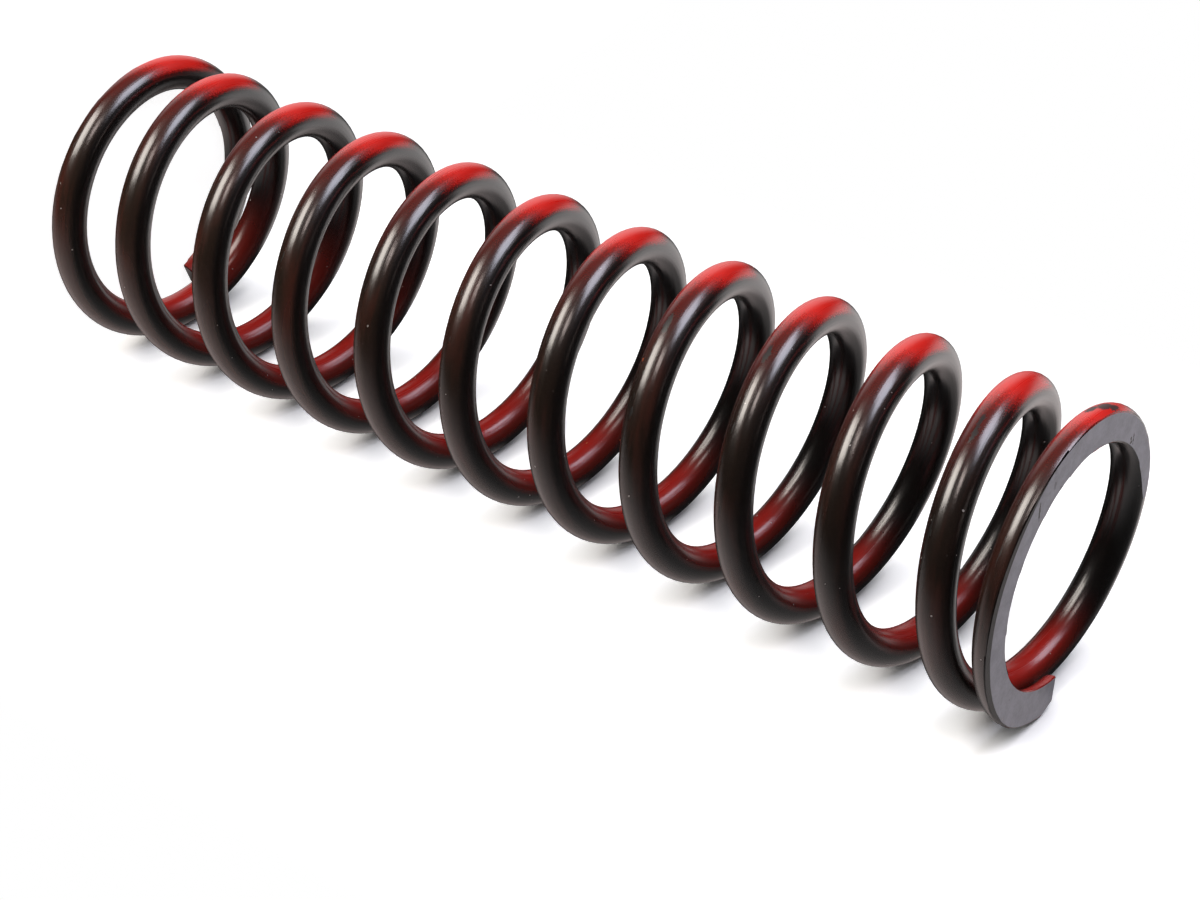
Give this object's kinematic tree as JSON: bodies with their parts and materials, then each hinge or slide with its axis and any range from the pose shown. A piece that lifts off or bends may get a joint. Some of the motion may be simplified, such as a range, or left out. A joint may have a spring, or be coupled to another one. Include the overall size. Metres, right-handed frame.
{
  "type": "shock spring",
  "caption": "Cylindrical compression spring for a coil-over shock absorber, wound from round wire, with closed ends ground flat.",
  "frame": {"origin": "middle of the lower ground face, on the spring's axis", "axes": "+Z along the spring's axis, up, towards the upper ground face; +X and +Y across it. It stands on its lower ground face. In the picture it lies on its side, with -X up and -Y towards the camera's side."},
  "size_m": [0.083, 0.083, 0.3048],
  "materials": {
    "spring_wire": "satin black with red overspray, ends ground bare"
  },
  "bodies": {
    "root": {"coil_spring": "spring_wire"}
  },
  "joints": []
}
